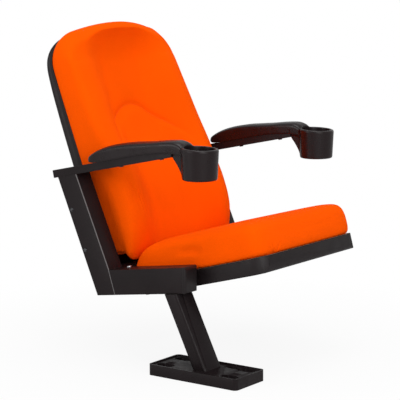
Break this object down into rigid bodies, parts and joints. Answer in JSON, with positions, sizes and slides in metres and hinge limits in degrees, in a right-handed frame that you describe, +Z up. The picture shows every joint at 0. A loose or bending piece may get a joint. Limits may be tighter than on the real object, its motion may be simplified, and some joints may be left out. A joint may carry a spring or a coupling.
{
  "type": "tip up auditorium seat",
  "caption": "Floor-bolted auditorium seat with a tip-up cushion, padded backrest, leaning leg and armrests with cup holders.",
  "frame": {"origin": "centre of the foot's bolt pattern, on the floor", "axes": "+Z up, the seat faces -Y, +X points from the standard with the leg to the other standard"},
  "size_m": [0.699, 0.7591, 0.9329],
  "materials": {
    "powder_coat": "fine textured black powder coat",
    "black_plastic": "fine grained moulded polypropylene, satin black",
    "armrest_plastic": "satin moulded black with a soft sheen",
    "orange_fabric": "smooth close-knit orange upholstery cloth",
    "zinc": "bright zinc plate",
    "spring_steel": "oiled spring wire",
    "nylon": "natural nylon",
    "rubber": "matt black rubber",
    "plywood": "beech plywood, plain"
  },
  "bodies": {
    "frame": {"foot_plate": "powder_coat", "leg_tube": "powder_coat", "near_hinge_box": "powder_coat", "far_hinge_box": "powder_coat", "near_box_cap": "black_plastic", "far_box_cap": "black_plastic", "near_upright": "powder_coat", "far_upright": "powder_coat", "near_arm_bar": "powder_coat", "far_arm_bar": "powder_coat", "arm_bar_caps": "black_plastic", "near_armrest": "armrest_plastic", "far_armrest": "armrest_plastic", "armrest_screws": "zinc", "box_screw": "zinc", "cross_tube": "powder_coat", "near_cross_flange": "powder_coat", "far_cross_flange": "powder_coat", "cross_bolts": "zinc", "back_shell": "black_plastic", "back_board": "plywood", "back_cushion": "orange_fabric", "back_brackets": "powder_coat", "back_bolts": "powder_coat", "board_screws": "zinc", "shell_screws": "zinc", "pivot_bushes": "nylon", "near_return_spring": "spring_steel", "far_return_spring": "spring_steel", "stop_buffers": "rubber"},
    "seat": {"near_pivot_pin": "zinc", "far_pivot_pin": "zinc", "stop_pins": "zinc", "seat_pan": "black_plastic", "seat_board": "plywood", "near_hinge_bracket": "powder_coat", "far_hinge_bracket": "powder_coat", "bracket_screws": "zinc", "pan_screws": "zinc", "seat_cushion": "orange_fabric"}
  },
  "joints": [
    {"name": "seat_tip", "type": "hinge", "parent": "frame", "child": "seat", "pos_m": [0.29, 0.1454, 0.2443], "axis": [-1, 0, 0], "range_deg": [0, 65]}
  ]
}
